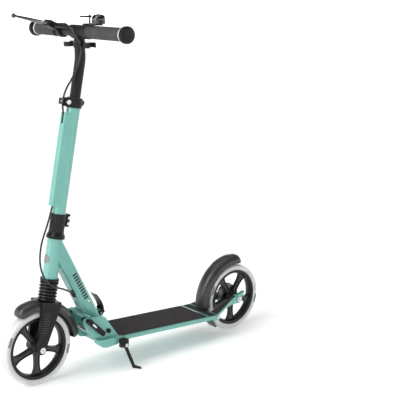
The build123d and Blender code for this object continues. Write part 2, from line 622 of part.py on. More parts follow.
# rear fork: two arms welded to a bridge behind the board
arm_start = bridge_rear + 2
arm_profile = [(deck_rear, deck_top), (arm_start, deck_top), (519, 27), (503, -6), (431, -10), (deck_rear, edge_low)]
arm_plan = [(deck_rear, 28), (deck_rear, half_deck), (bridge_rear, half_deck), (430, 50),
            (470, arm_gap + arm_thick), (530, arm_gap + arm_thick), (530, arm_gap), (470, arm_gap), (440, 28)]
plan_face = make_face(Polyline(*arm_plan, close=True))
arm_side = side_plate(arm_profile, arm_gap, half_deck)
arm = arm_side & (Pos(0, 0, -60) * extrude(plan_face, amount=120))
axle_x, axle_z = axle_on_deck.X, axle_on_deck.Z
pin_x, pin_z, pin_radius = 394.5, -28.0, 3.0
arm = arm + cross_rod(13, arm_gap, arm_gap + arm_thick, axle_x, axle_z) + cross_rod(8, 30, 58, pin_x, pin_z)
arm -= cross_rod(axle_radius, 0, 80, axle_x, axle_z) + cross_rod(pin_radius, 0, 80, pin_x, pin_z)
arm -= cross_rod(6, 58, 80, pin_x, pin_z)
rear_fork = arm + mirrored(arm) + block(deck_rear, bridge_rear, -half_deck, half_deck, deck_top - 15, deck_top)
save("rear_fork", put(deck, rear_fork) - cable_room)

# grip tape on the board, on the bridge and along both arms
tape_half, tape_top = half_deck - tape_margin, deck_top + tape_thick
front_tape = block(tape_front, strip_start, -tape_half, tape_half, deck_top, tape_top)
rear_tape = block(strip_end, bridge_rear - 1, -tape_half, tape_half, deck_top, tape_top)
rise = (27 - deck_top) / (519 - arm_start)


def on_arm(x):
    return deck_top + (x - arm_start) * rise


strip_low, strip_high = bridge_rear + 4, 483
strip_side = side_plate([(strip_low, on_arm(strip_low)), (strip_high, on_arm(strip_high)),
                         (strip_high, on_arm(strip_high) + tape_thick), (strip_low, on_arm(strip_low) + tape_thick)],
                        arm_gap, half_deck)
strip_plan = [(strip_low, 31), (strip_low, 58), (430, 47), (470, 34), (505, 34), (505, 27), (470, 27), (440, 30.5)]
arm_tape = strip_side & (Pos(0, 0, -60) * extrude(make_face(Polyline(*strip_plan, close=True)), amount=120))
tapes = [put(deck, piece) for piece in (front_tape, rear_tape, arm_tape, mirrored(arm_tape))]
save("grip_tape", Compound(children=tapes))

# ---------------------------------------------------------------- kickstand
stand_x, stand_z, stand_y = 41.4, -40.0, -72.0
stand_bracket = block(12, 50, -half_deck - 15, -half_deck, -46, -24) - block(
    30, 51, stand_y - 5.5, stand_y + 5.5, -47, -30)
stand_bracket -= cross_rod(3, -90, -60, stand_x, stand_z)
save("kickstand_bracket", put(deck, stand_bracket))
stand_top = deck.from_local_coords(Vector(stand_x, stand_y, stand_z))
heel, toe = Vector(-81, -73, 5), Vector(-71, -88, 3.5)


def limb(start, end, radius_start, radius_end):
    way = Plane(origin=start, z_dir=end - start)
    length = (end - start).length
    return way.location * Pos(0, 0, length / 2) * Cone(radius_start, radius_end, length)


kickstand = limb(stand_top, heel, 4.9, 4.7) + Pos(heel) * Sphere(5) + limb(heel, toe, 4.6, 3.2) + Pos(toe) * Sphere(3.5)
kickstand += put(deck, cross_rod(7, stand_y - 5, stand_y + 5, stand_x, stand_z))
kickstand -= put(deck, cross_rod(3 + run, -90, -60, stand_x, stand_z))
save("kickstand", kickstand)

# pins and bolts of the deck: bracket spacer, kickstand bolt and fender pin
bracket_spacer = cross_rod(5, -plate_inner, plate_inner, spacer_x, spacer_z)
stand_bolt = cross_rod(3, -half_deck - 15, -half_deck, stand_x, stand_z) + cross_rod(
    5, -half_deck - 18, -half_deck - 15, stand_x, stand_z)
fender_pin = cross_rod(pin_radius, -58, 58, pin_x, pin_z)
for low in (-61, 58):
    fender_pin += cross_rod(5.5, low, low + 3, pin_x, pin_z)
save("deck_fasteners", Compound(children=[put(deck, piece) for piece in (bracket_spacer, stand_bolt, fender_pin)]))

# ---------------------------------------------------------------- rear fender, which is also the foot brake
fender_pin_angle = 180 + math.degrees(math.atan2(axle_z - pin_z, axle_x - pin_x))


def rear_shell(inner, outer, half, low, high):
    shell = turned([(inner, -half), (outer, -half), (outer, half), (inner, half)], high - low)
    return Rot(0, -high, 0) * shell


r0, r1, half, wall = fender_inner, fender_outer, fender_half, fender_wall
shell = turned([(r0, half), (r1 - 7, half), (r1, half - 6), (r1, -half + 6), (r1 - 7, -half), (r0, -half),
                (r0, -half + wall), (r1 - 8, -half + wall), (r1 - wall, -half + 7),
                (r1 - wall, half - 7), (r1 - 8, half - wall), (r0, half - wall)], fender_high - fender_low)
shell = Rot(0, -fender_high, 0) * shell
shell += rear_shell(105.5, r1 - 1, 14, 96, 124)
shell += rear_shell(104, r1 - 1, 14.5, fender_high - 4, fender_high)
shell += rear_shell(104, 108.5, 14.5, fender_high - 4, fender_pin_angle)
shell += rear_shell(103.2, 107.2, 14.5, fender_pin_angle, 232)
to_pin = Vector(pin_x - axle_x, 0, pin_z - axle_z)
barrel = cross_rod(5.5, -14.5, 14.5, to_pin.X, to_pin.Z)
shell = Pos(axle_x, 0, axle_z) * Rot(0, 0, 0) * (shell + barrel - cross_rod(
    pin_radius + run, -20, 20, to_pin.X, to_pin.Z))
save("rear_fender", put(deck, shell))

# ---------------------------------------------------------------- rear hub brake, beside the drum on the right
brake_x, brake_z = -50.0, 2.0
plate_near, plate_far = drum_depth + 0.5, arm_gap
backing = cross_pipe(36, axle_radius + 3, plate_near, plate_far)
backing += block(-60, -30, plate_near, plate_far, -8, 12) + cross_rod(3, 14.8, plate_near + 1, brake_x, brake_z)
backing = backing - cross_rod(axle_radius + 3, plate_near - 1, plate_far + 1)
save("brake_plate", put(deck, Pos(axle_x, 0, axle_z) * backing))
swing = cross_rod(6.5, 15.6, 20.2, brake_x, brake_z) + side_plate(
    [(brake_x - 5, brake_z), (brake_x - 3.5, brake_z - 22), (brake_x + 3.5, brake_z - 22), (brake_x + 5, brake_z)],
    16.2, 19.6)
swing -= cross_rod(3 + run, 10, 30, brake_x, brake_z)
save("brake_arm", put(deck, Pos(axle_x, 0, axle_z) * swing))
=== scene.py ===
# A folding kick scooter for a child: the visible pieces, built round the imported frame.
# Shapes are drawn in millimetres and become metres when a mesh is finished.
import math

import bmesh
import bpy
from mathutils import Matrix, Vector


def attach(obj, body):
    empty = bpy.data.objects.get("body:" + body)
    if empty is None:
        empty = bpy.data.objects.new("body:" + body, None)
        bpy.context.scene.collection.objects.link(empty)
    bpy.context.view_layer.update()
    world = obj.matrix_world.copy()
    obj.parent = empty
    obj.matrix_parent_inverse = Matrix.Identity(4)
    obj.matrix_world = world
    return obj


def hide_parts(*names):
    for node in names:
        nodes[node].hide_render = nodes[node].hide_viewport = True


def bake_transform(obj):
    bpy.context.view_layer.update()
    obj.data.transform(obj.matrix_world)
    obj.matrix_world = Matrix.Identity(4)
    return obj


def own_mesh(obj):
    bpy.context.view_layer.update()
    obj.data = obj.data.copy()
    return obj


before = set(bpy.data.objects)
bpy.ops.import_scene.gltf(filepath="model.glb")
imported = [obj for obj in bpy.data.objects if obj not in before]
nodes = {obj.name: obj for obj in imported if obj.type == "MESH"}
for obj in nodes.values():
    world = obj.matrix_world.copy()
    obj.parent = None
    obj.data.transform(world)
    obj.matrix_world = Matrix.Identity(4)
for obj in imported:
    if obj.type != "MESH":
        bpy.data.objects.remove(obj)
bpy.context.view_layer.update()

# ---------------------------------------------------------------- sizes of the frame, mm
wheel_radius, wheelbase, rake, fork_offset, deck_slope = 100.0, 690.0, 10.0, 12.0, 2.6
tube_lean, hinge_along, hinge_behind = 27.5, 50.0, 176.0
bar_forward, bar_height, bar_half = 16.0, 818.0, 206.0
crown_top, cup_bottom = 125.0, 176.0
deck_top, half_deck = -19.0, 64.0
cable_radius = 2.5
suspension_travel, bellows_gap, spring_seat = 12.0, 0.5, 10.4
left_grip_start, right_grip_start = 47.0, 96.0
spokes, spoke_turn = 5, 72

# the studio, m
floor_half, backdrop_radius, backdrop_height, backdrop_panels = 25, 24, 7, 72


# ---------------------------------------------------------------- places
def place_at(origin, x_dir, z_dir):
    """A place on the scooter: its own x and z directions and the point they start from."""
    x, z = Vector(x_dir).normalized(), Vector(z_dir).normalized()
    place = Matrix((x, z.cross(x), z)).transposed().to_4x4()
    place.translation = Vector(origin)
    return place


def tilt(angle):
    return math.sin(math.radians(angle)), math.cos(math.radians(angle))


rake_s, rake_c = tilt(rake)
slope_s, slope_c = tilt(deck_slope)
lean_s, lean_c = tilt(tube_lean)
front_axle = Vector((-wheelbase / 2, 0, wheel_radius))
rear_axle = Vector((wheelbase / 2, 0, wheel_radius))
column = place_at(front_axle + Vector((rake_c, 0, -rake_s)) * fork_offset, (rake_c, 0, -rake_s), (rake_s, 0, rake_c))
pivot = column @ Vector((hinge_behind, 0, hinge_along))
deck = place_at(pivot, (slope_c, 0, -slope_s), (slope_s, 0, slope_c))
tube = place_at(pivot, (lean_c, 0, lean_s), (-lean_s, 0, lean_c))
bar_centre = column @ Vector((-bar_forward, 0, bar_height))
bar = Matrix.Translation(bar_centre)
lever_s, lever_c = tilt(24.0)
lever = place_at(bar_centre, (-lever_c, 0, lever_s), (-lever_s, 0, -lever_c))
front_wheel, rear_wheel = Matrix.Translation(front_axle), Matrix.Translation(rear_axle)


def metres(place, point):
    return (place @ Vector(point)) * 0.001


def on_side(side, near, far):
    """The lower and upper y of something that lies between two distances from the middle, on one side."""
    return sorted((side * near, side * far))


# ---------------------------------------------------------------- camera, floor and light
camera_data = bpy.data.cameras.new("camera")
camera_data.lens = 86.95
camera_data.sensor_width = 36.0
camera_data.shift_x, camera_data.shift_y = 0.1275, -0.0476
camera_data.clip_start, camera_data.clip_end = 0.1, 60.0
camera = bpy.data.objects.new("camera", camera_data)
bpy.context.scene.collection.objects.link(camera)
camera.matrix_world = Matrix((
    (0.780705, 0.119247, -0.613417, -1.60072),
    (-0.624817, 0.164944, -0.763149, -2.02117),
    (0.010176, 0.979068, 0.203280, 1.03296),
    (0, 0, 0, 1)))
bpy.context.scene.camera = camera


def soft_light(name, where, towards, size, watts, colour=(1, 1, 1)):
    data = bpy.data.lights.new(name, "AREA")
    data.shape, data.size, data.energy, data.color = "DISK", size, watts, colour
    lamp = bpy.data.objects.new(name, data)
    bpy.context.scene.collection.objects.link(lamp)
    way = Vector(towards) - Vector(where)
    lamp.matrix_world = Matrix.Translation(where) @ way.to_track_quat("-Z", "Y").to_matrix().to_4x4()


def far_light(name, way_from, strength, spread):
    """Even light from one side of the studio, soft at the edges of its shadows."""
    data = bpy.data.lights.new(name, "SUN")
    data.energy, data.angle = strength, math.radians(spread)
    lamp = bpy.data.objects.new(name, data)
    bpy.context.scene.collection.objects.link(lamp)
    lamp.matrix_world = Vector(way_from).to_track_quat("Z", "Y").to_matrix().to_4x4()


far_light("light_key", (-0.95, -0.1, 0.9), 1.75, 34)
far_light("light_top", (0.0, 0.1, 1.0), 0.95, 60)
soft_light("light_front", (-3.2, 0.4, 1.3), (0, 0, 0.45), 1.4, 26)

bpy.context.scene.view_settings.view_transform = "Standard"
world = bpy.data.worlds.new("studio")
bpy.context.scene.world = world
world.use_nodes = True
world.node_tree.nodes["Background"].inputs["Color"].default_value = (1, 1, 1, 1)
world.node_tree.nodes["Background"].inputs["Strength"].default_value = 0.16


# ---------------------------------------------------------------- finishes
def node(tree, kind, **settings):
    made = tree.nodes.new(kind)
    for key, value in settings.items():
        setattr(made, key, value)
    return made


def finish(name, dark, light, roughness, metallic=0.0, mottle=35.0, grain=0.15, grain_size=900.0, grain_depth=0.0001,
           rough_spread=0.08, coat=0.0, coat_roughness=0.1, specks=None, stretch=(1, 1, 1), edge=None, sheen=0.0,
           see_into=0.0, shine=0.5):
    """A finish with cloudy colour between two shades and a fine grain.

    specks and edge are the colours of small specks and of a painted highlight on sharp edges, if it has them."""
    material = bpy.data.materials.new(name)
    material.use_nodes = True
    tree = material.node_tree
    shader = tree.nodes["Principled BSDF"]
    where = node(tree, "ShaderNodeTexCoord")
    mapping = node(tree, "ShaderNodeMapping")
    mapping.inputs["Scale"].default_value = stretch
    tree.links.new(where.outputs["Object"], mapping.inputs["Vector"])
    cloud = node(tree, "ShaderNodeTexNoise")
    cloud.inputs["Scale"].default_value = mottle
    cloud.inputs["Detail"].default_value = 5.0
    tree.links.new(mapping.outputs["Vector"], cloud.inputs["Vector"])
    ramp = node(tree, "ShaderNodeValToRGB")
    ramp.color_ramp.elements[0].position, ramp.color_ramp.elements[1].position = 0.32, 0.68
    ramp.color_ramp.elements[0].color = (*dark, 1)
    ramp.color_ramp.elements[1].color = (*light, 1)
    tree.links.new(cloud.outputs["Fac"], ramp.inputs["Fac"])
    colour = ramp.outputs["Color"]
    fine = node(tree, "ShaderNodeTexNoise")
    fine.inputs["Scale"].default_value = grain_size
    fine.inputs["Detail"].default_value = 3.0
    tree.links.new(mapping.outputs["Vector"], fine.inputs["Vector"])
    if specks:
        speck_ramp = node(tree, "ShaderNodeValToRGB")
        speck_ramp.color_ramp.elements[0].position, speck_ramp.color_ramp.elements[1].position = 0.56, 0.66
        tree.links.new(fine.outputs["Fac"], speck_ramp.inputs["Fac"])
        speck_mix = node(tree, "ShaderNodeMix", data_type="RGBA")
        speck_mix.inputs["B"].default_value = (*specks, 1)
        tree.links.new(speck_ramp.outputs["Color"], speck_mix.inputs["Factor"])
        tree.links.new(colour, speck_mix.inputs["A"])
        colour = speck_mix.outputs["Result"]
    # painted highlight: sharp edges, where the mesh is pointy, get the lighter edge colour
    if edge:
        shape = node(tree, "ShaderNodeNewGeometry")
        edge_highlight_ramp = node(tree, "ShaderNodeValToRGB")
        edge_highlight_ramp.color_ramp.elements[0].position, edge_highlight_ramp.color_ramp.elements[1].position = 0.62, 0.80
        tree.links.new(shape.outputs["Pointiness"], edge_highlight_ramp.inputs["Fac"])
        edge_highlight_mix = node(tree, "ShaderNodeMix", data_type="RGBA")
        edge_highlight_mix.inputs["B"].default_value = (*edge, 1)
        tree.links.new(edge_highlight_ramp.outputs["Color"], edge_highlight_mix.inputs["Factor"])
        tree.links.new(colour, edge_highlight_mix.inputs["A"])
        colour = edge_highlight_mix.outputs["Result"]
    tree.links.new(colour, shader.inputs["Base Color"])
    gloss = node(tree, "ShaderNodeMapRange")
    gloss.inputs["To Min"].default_value = max(0.03, roughness - rough_spread)
    gloss.inputs["To Max"].default_value = min(1.0, roughness + rough_spread)
    tree.links.new(cloud.outputs["Fac"], gloss.inputs["Value"])
    tree.links.new(gloss.outputs["Result"], shader.inputs["Roughness"])
    bump = node(tree, "ShaderNodeBump")
    bump.inputs["Strength"].default_value = grain
    bump.inputs["Distance"].default_value = grain_depth
    tree.links.new(fine.outputs["Fac"], bump.inputs["Height"])
    tree.links.new(bump.outputs["Normal"], shader.inputs["Normal"])
    shader.inputs["Metallic"].default_value = metallic
    shader.inputs["Specular IOR Level"].default_value = shine
    shader.inputs["Coat Weight"].default_value = coat
    shader.inputs["Coat Roughness"].default_value = coat_roughness
    shader.inputs["Sheen Weight"].default_value = sheen
    shader.inputs["Subsurface Weight"].default_value = see_into
    shader.inputs["Subsurface Radius"].default_value = (0.004, 0.004, 0.0035)
    return material


# the edge colours below are painted highlights, lighter than each finish, on its sharp edges
mint_paint = finish("mint_paint", (0.130, 0.375, 0.325), (0.155, 0.415, 0.365), 0.34, metallic=0.25, mottle=14,
                    grain=0.08, grain_size=2600, coat=0.4, coat_roughness=0.16, specks=(0.20, 0.50, 0.44),
                    edge=(0.42, 0.74, 0.68))
black_paint = finish("black_powder_coat", (0.0055, 0.0055, 0.006), (0.009, 0.009, 0.0095), 0.40, grain=0.3,
                     grain_size=1500, coat=0.03, coat_roughness=0.3, edge=(0.03, 0.03, 0.031), shine=0.22)
fender_plastic = finish("moulded_fender_plastic", (0.020, 0.020, 0.021), (0.028, 0.028, 0.029), 0.33, grain=0.22,
                        grain_size=1900, rough_spread=0.05, coat=0.25, coat_roughness=0.35,
                        edge=(0.05, 0.05, 0.052), shine=0.4)
black_plastic = finish("black_moulded_plastic", (0.005, 0.005, 0.0055), (0.009, 0.009, 0.0095), 0.34, grain=0.2,
                       grain_size=1300, edge=(0.03, 0.03, 0.03), shine=0.22)
gloss_black = finish("gloss_black", (0.0035, 0.0035, 0.004), (0.006, 0.006, 0.0065), 0.12, grain=0.03, coat=0.8,
                     coat_roughness=0.05, rough_spread=0.03, shine=0.5)
soft_grip = finish("soft_grip_rubber", (0.034, 0.034, 0.036), (0.050, 0.050, 0.053), 0.62, grain=0.5, grain_size=1100,
                   grain_depth=0.0002, sheen=0.1, shine=0.3)
wheel_white = finish("milk_white_tyre", (0.60, 0.61, 0.605), (0.68, 0.69, 0.685), 0.34, mottle=22, grain=0.12,
                     grain_size=700, see_into=0.2, rough_spread=0.05)
mark_grey = finish("tyre_marks", (0.09, 0.092, 0.095), (0.15, 0.152, 0.155), 0.5, shine=0.2)
mark_dark = finish("tyre_blocks", (0.018, 0.019, 0.02), (0.03, 0.031, 0.033), 0.5, shine=0.2)
rim_plastic = finish("rim_plastic", (0.010, 0.010, 0.011), (0.017, 0.017, 0.018), 0.36, grain=0.25, grain_size=1600,
                     edge=(0.06, 0.06, 0.062), shine=0.25)
web_plastic = finish("rim_web_plastic", (0.045, 0.046, 0.048), (0.065, 0.066, 0.069), 0.40, grain=0.2,
                     grain_size=1600, shine=0.3)
cast_drum = finish("brake_drum", (0.20, 0.205, 0.21), (0.27, 0.275, 0.28), 0.45, metallic=0.9, mottle=60, grain=0.4,
                   stretch=(1, 12, 1))
bright_steel = finish("bright_steel", (0.62, 0.63, 0.64), (0.74, 0.75, 0.76), 0.22, metallic=1.0, mottle=90,
                      grain=0.12, stretch=(1, 6, 1))
zinc_steel = finish("zinc_plate", (0.50, 0.51, 0.52), (0.62, 0.63, 0.64), 0.36, metallic=1.0, mottle=160, grain=0.3)
spring_steel = finish("spring_steel", (0.32, 0.33, 0.34), (0.46, 0.47, 0.48), 0.28, metallic=1.0, mottle=120,
                      grain=0.2)
bellows_rubber = finish("bellows_rubber", (0.005, 0.005, 0.0055), (0.009, 0.009, 0.0095), 0.26, grain=0.2,
                        grain_size=800, coat=0.3, coat_roughness=0.2, shine=0.4)
grit_tape = finish("grit_tape", (0.030, 0.027, 0.027), (0.040, 0.036, 0.036), 0.85, mottle=55, grain=1.0,
                   grain_size=1250, grain_depth=0.0006, specks=(0.085, 0.078, 0.076), shine=0.1)
pale_ring = finish("pale_ring", (0.62, 0.62, 0.61), (0.72, 0.72, 0.71), 0.4)
dark_ink = finish("dark_ink", (0.008, 0.010, 0.010), (0.014, 0.017, 0.017), 0.4)
seam_shadow = finish("painted_seam_shade", (0.03, 0.085, 0.075), (0.045, 0.11, 0.10), 0.6)
badge_grey = finish("badge_grey", (0.20, 0.21, 0.22), (0.30, 0.31, 0.32), 0.3, metallic=0.8, grain=0.1)
cable_black = finish("cable_sheath", (0.004, 0.004, 0.0045), (0.008, 0.008, 0.0085), 0.2, grain=0.1, coat=0.4,
                     shine=0.3)
floor_white, backdrop_white = (finish(name, (0.90, 0.90, 0.90), (0.91, 0.91, 0.91), 0.9, mottle=0.6, grain=0.0,
                                      rough_spread=0.02, shine=0.0) for name in ("studio_floor", "studio_backdrop"))
for pale, glow in ((floor_white, 0.22), (backdrop_white, 0.85)):
    pale.node_tree.nodes["Principled BSDF"].inputs["Emission Color"].default_value = (1, 1, 1, 1)
    pale.node_tree.nodes["Principled BSDF"].inputs["Emission Strength"].default_value = glow



def studio_piece(name, points, faces, material):
    mesh = bpy.data.meshes.new(name)
    mesh.from_pydata(points, [], faces)
    mesh.materials.append(material)
    made = bpy.data.objects.new(name, mesh)
    bpy.context.scene.collection.objects.link(made)
    return made


floor = studio_piece("floor", [(x * floor_half, y * floor_half, 0) for x, y in ((-1, -1), (1, -1), (1, 1), (-1, 1))],
                     [(0, 1, 2, 3)], floor_white)
ring = [(backdrop_radius * math.cos(math.radians(a)), backdrop_radius * math.sin(math.radians(a)))
        for a in range(0, 360, 360 // backdrop_panels)]
backdrop = studio_piece("backdrop", [(x, y, height) for height in (0, backdrop_height) for x, y in ring],
                        [(i, i + backdrop_panels, (i + 1) % backdrop_panels + backdrop_panels,
                          (i + 1) % backdrop_panels) for i in range(backdrop_panels)], backdrop_white)


def dress(material, *names):
    """Gives CAD nodes that are shown as they are their finish."""
    for name in names:
        shown = nodes[name]
        if not shown.material_slots:
            shown.data.materials.append(material)
        for spot in shown.material_slots:
            spot.material = material


dress(mint_paint, "deck_board", "deck_nose", "rear_fork", "fold_bracket", "down_tube", "head_tube", "hinge_foot",
      "steering_tube")
dress(black_paint, "headset_cups", "fork_crown", "fork_legs", "kickstand", "kickstand_bracket", "lock_rod",
      "stem_clamp", "stem_tube", "steerer_tube", "headset_lock_ring", "brake_perch", "brake_arm", "bell_base",
      "left_bar_tube", "right_bar_tube", "bar_tee", "brake_lever", "fold_pivot_bolt")
dress(black_plastic, "height_collar", "collar_lever", "lock_lever", "release_pedal", "grip_clips", "left_button",
      "right_button", "bell_lever", "brake_boot", "down_tube_fittings")
dress(grit_tape, "grip_tape")
dress(bright_steel, "front_axle_bolt", "rear_axle_bolt", "column_bolts")
dress(zinc_steel, "deck_fasteners", "front_bearings", "rear_bearings", "brake_plate")
dress(badge_grey, "head_badge")


# ---------------------------------------------------------------- making meshes
def skin(shape, rings, around=True, closed=False, capped=True, material=0):
    """Joins rings of points with faces.

    around joins the last ring to the first, and closed joins each ring's own ends."""
    rows = [[shape.verts.new(point) for point in ring] for ring in rings]
    pairs = list(zip(rows, rows[1:])) + ([(rows[-1], rows[0])] if around else [])
    for first, second in pairs:
        count = len(first)
        for i in range(count if closed else count - 1):
            k = (i + 1) % count
            shape.faces.new((first[i], first[k], second[k], second[i])).material_index = material
    if capped and not around:
        shape.faces.new(rows[0]).material_index = material
        shape.faces.new(list(reversed(rows[-1]))).material_index = material


def lathe(shape, profile, steps=96, along="Y", centre=(0, 0, 0), material=0):
    """Turns a closed outline of (radius, height) points round an axis."""
    rings = []
    for step in range(steps):
        angle = 2 * math.pi * step / steps
        c, s = math.cos(angle), math.sin(angle)
        if along == "Y":
            rings.append([Vector((r * c, h, r * s)) + Vector(centre) for r, h in profile])
        else:
            rings.append([Vector((r * c, r * s, h)) + Vector(centre) for r, h in profile])
    skin(shape, rings, closed=True, material=material)


def brick(shape, low, high, bevel=0.0, material=0):
    """A small block, with its edges taken off if asked."""
    made = bmesh.ops.create_cube(shape, size=1.0)["verts"]
    size = Vector(high) - Vector(low)
    for vert in made:
        vert.co = Vector([a + (c + 0.5) * s for a, c, s in zip(low, vert.co, size)])
    faces = set(face for vert in made for face in vert.link_faces)
    for face in faces:
        face.material_index = material
    if bevel:
        edges = set(edge for face in faces for edge in face.edges)
        cut = bmesh.ops.bevel(shape, geom=list(edges), offset=bevel, segments=2, affect="EDGES", profile=0.5)
        for face in cut["faces"]:
            face.material_index = material
    return made


def tube_along(shape, points, radius, sides=12, material=0):
    """A round tube along a smooth line of points."""
    rings, across = [], None
    for i, point in enumerate(points):
        way = (points[min(i + 1, len(points) - 1)] - points[max(i - 1, 0)]).normalized()
        if across is None:
            across = way.orthogonal().normalized()
        across = (across - way * across.dot(way)).normalized()
        over = way.cross(across)
        size = radius(i / (len(points) - 1)) if callable(radius) else radius
        turns = [2 * math.pi * k / sides for k in range(sides)]
        rings.append([point + (across * math.cos(turn) + over * math.sin(turn)) * size for turn in turns])
    skin(shape, rings, around=False, closed=True, material=material)


def settle(shape, sharp=32):
    """Merges doubles, drops slivers, turns faces outwards and marks the sharp edges."""
    bmesh.ops.remove_doubles(shape, verts=shape.verts[:], dist=0.0005)
    bmesh.ops.dissolve_degenerate(shape, edges=shape.edges[:], dist=0.0002)
    bmesh.ops.recalc_face_normals(shape, faces=shape.faces[:])
    for face in shape.faces:
        face.smooth = True
    for edge in shape.edges:
        if len(edge.link_faces) == 2 and edge.calc_face_angle(0) > math.radians(sharp):
            edge.smooth = False


def made_mesh(name, shape, place, materials, sharp=32):
    """Writes a mesh in metres, at its place on the scooter."""
    settle(shape, sharp)
    shape.transform(Matrix.Scale(0.001, 4) @ place)
    mesh = bpy.data.meshes.new(name)
    shape.to_mesh(mesh)
    shape.free()
    for material in materials:
        mesh.materials.append(material)
    return mesh


def hang(name, mesh, body=None, replaces=()):
    """Shows a mesh as a piece that rides on a body."""
    piece = bpy.data.objects.new(name, mesh)
    bpy.context.scene.collection.objects.link(piece)
    if body:
        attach(piece, body)
    if replaces:
        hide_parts(*replaces)
    return piece


def repeat_tree():
    """One small part repeated along a line, round an axis, or both."""
    tree = bpy.data.node_groups.new("repeat_a_part", "GeometryNodeTree")
    sockets = {}
    for label, kind in (("Geometry", "Geometry"), ("Count", "Int"), ("Step", "Vector"), ("Turn", "Vector"),
                        ("Finish", "Material")):
        made = tree.interface.new_socket(label, in_out="INPUT", socket_type=f"NodeSocket{kind}")
        sockets[label] = made.identifier
    tree.interface.new_socket("Geometry", in_out="OUTPUT", socket_type="NodeSocketGeometry")
    start, end = tree.nodes.new("NodeGroupInput"), tree.nodes.new("NodeGroupOutput")
    index = tree.nodes.new("GeometryNodeInputIndex")
    shift, turn = tree.nodes.new("ShaderNodeVectorMath"), tree.nodes.new("ShaderNodeVectorMath")
    shift.operation = turn.operation = "SCALE"
    points = tree.nodes.new("GeometryNodePoints")
    spread = tree.nodes.new("GeometryNodeInstanceOnPoints")
    real = tree.nodes.new("GeometryNodeRealizeInstances")
    coat = tree.nodes.new("GeometryNodeSetMaterial")
    link = tree.links.new
    link(start.outputs["Step"], shift.inputs[0])
    link(index.outputs[0], shift.inputs["Scale"])
    link(start.outputs["Turn"], turn.inputs[0])
    link(index.outputs[0], turn.inputs["Scale"])
    link(start.outputs["Count"], points.inputs["Count"])
    link(shift.outputs["Vector"], points.inputs["Position"])
    link(points.outputs[0], spread.inputs["Points"])
    link(start.outputs["Geometry"], spread.inputs["Instance"])
    link(turn.outputs["Vector"], spread.inputs["Rotation"])
    link(spread.outputs["Instances"], real.inputs["Geometry"])
    link(real.outputs["Geometry"], coat.inputs["Geometry"])
    link(start.outputs["Finish"], coat.inputs["Material"])
    link(coat.outputs["Geometry"], end.inputs["Geometry"])
    return tree, sockets


repeater, repeater_sockets = repeat_tree()


def repeated(shape, count, material, step=(0, 0, 0), turn=(0, 0, 0)):
    """The repeated part as a plain bmesh, still in millimetres."""
    seed_mesh = bpy.data.meshes.new("seed")
    shape.to_mesh(seed_mesh)
    shape.free()
    seed = bpy.data.objects.new("seed", seed_mesh)
    bpy.context.scene.collection.objects.link(seed)
    modifier = seed.modifiers.new("repeat", "NODES")
    modifier.node_group = repeater
    for label, value in (("Count", count), ("Step", Vector(step)), ("Turn", Vector(turn)), ("Finish", material)):
        modifier[repeater_sockets[label]] = value
    bpy.context.view_layer.update()
    ready = seed.evaluated_get(bpy.context.evaluated_depsgraph_get())
    whole = bpy.data.meshes.new_from_object(ready)
    result = bmesh.new()
    result.from_mesh(whole)
    bpy.data.objects.remove(seed)
    bpy.data.meshes.remove(whole)
    bpy.data.meshes.remove(seed_mesh)
    return result


def take_in(shape, other, material):
    """Adds another bmesh to this one, with one material."""
    carried = bpy.data.meshes.new("carried")
    for face in other.faces:
        face.material_index = material
    other.to_mesh(carried)
    other.free()
    before = set(shape.faces)
    shape.from_mesh(carried)
    for face in shape.faces:
        if face not in before:
            face.material_index = material
    bpy.data.meshes.remove(carried)


# ---------------------------------------------------------------- wheels
def tyre(name, place, body, slot_node):
    half = [(84, 0), (84, 12.6), (85, 13.6), (87, 14.3), (90, 14.85), (93, 14.95), (95.5, 14.2), (97.6, 12.2),
            (99.0, 9.4), (99.5, 7.6), (98.8, 7.0), (98.8, 5.9), (99.7, 5.4), (99.95, 3.0), (100, 1.0)]
    outline = [(r, -h) for r, h in reversed(half)] + half[1:]
    shape = bmesh.new()
    lathe(shape, outline, 160)
    for side in (-1, 1):
        dash = bmesh.new()
        low, high = on_side(side, 13.9, 14.75)
        brick(dash, (87.2, low, -1.5), (87.9, high, 1.5))
        take_in(shape, repeated(dash, 72, mark_grey, turn=(0, math.radians(5), 0)), 1)
        for place_angle in (-157.6, 12.7):
            stripe = bmesh.new()
            low, high = on_side(side, 13.6, 15.0)
            brick(stripe, (88.4, low, -13), (89.9, high, 13), 0.2)
            patch = repeated(stripe, 3, mark_dark, step=(2.3, 0, 0))
            patch.transform(Matrix.Rotation(math.radians(place_angle), 4, "Y"))
            take_in(shape, patch, 2)
    hang(name, made_mesh(name, shape, place, (wheel_white, mark_grey, mark_dark)), body, (slot_node,))


def spoke():
    """One channelled spoke that points along X: a thin web between two raised edges."""
    shape = bmesh.new()
    rings = []
    for r, w in ((13, 9.5), (18, 8.8), (24, 7.8), (32, 7.2), (42, 7.0), (50, 7.2), (57, 8.0), (63, 9.6), (68, 11.8),
                 (72, 14.2), (76, 16.5)):
        edge = [(-w, 5.2), (-w + 0.8, 6), (-w + 2.3, 6), (-w + 3.4, 3.0),
                (w - 3.4, 3.0), (w - 2.3, 6), (w - 0.8, 6), (w, 5.2)]
        loop = [(t, -y) for t, y in edge] + [(t, y) for t, y in reversed(edge)]
        rings.append([Vector((r, y, t)) for t, y in loop])
    skin(shape, rings, around=False, closed=True)
    return shape


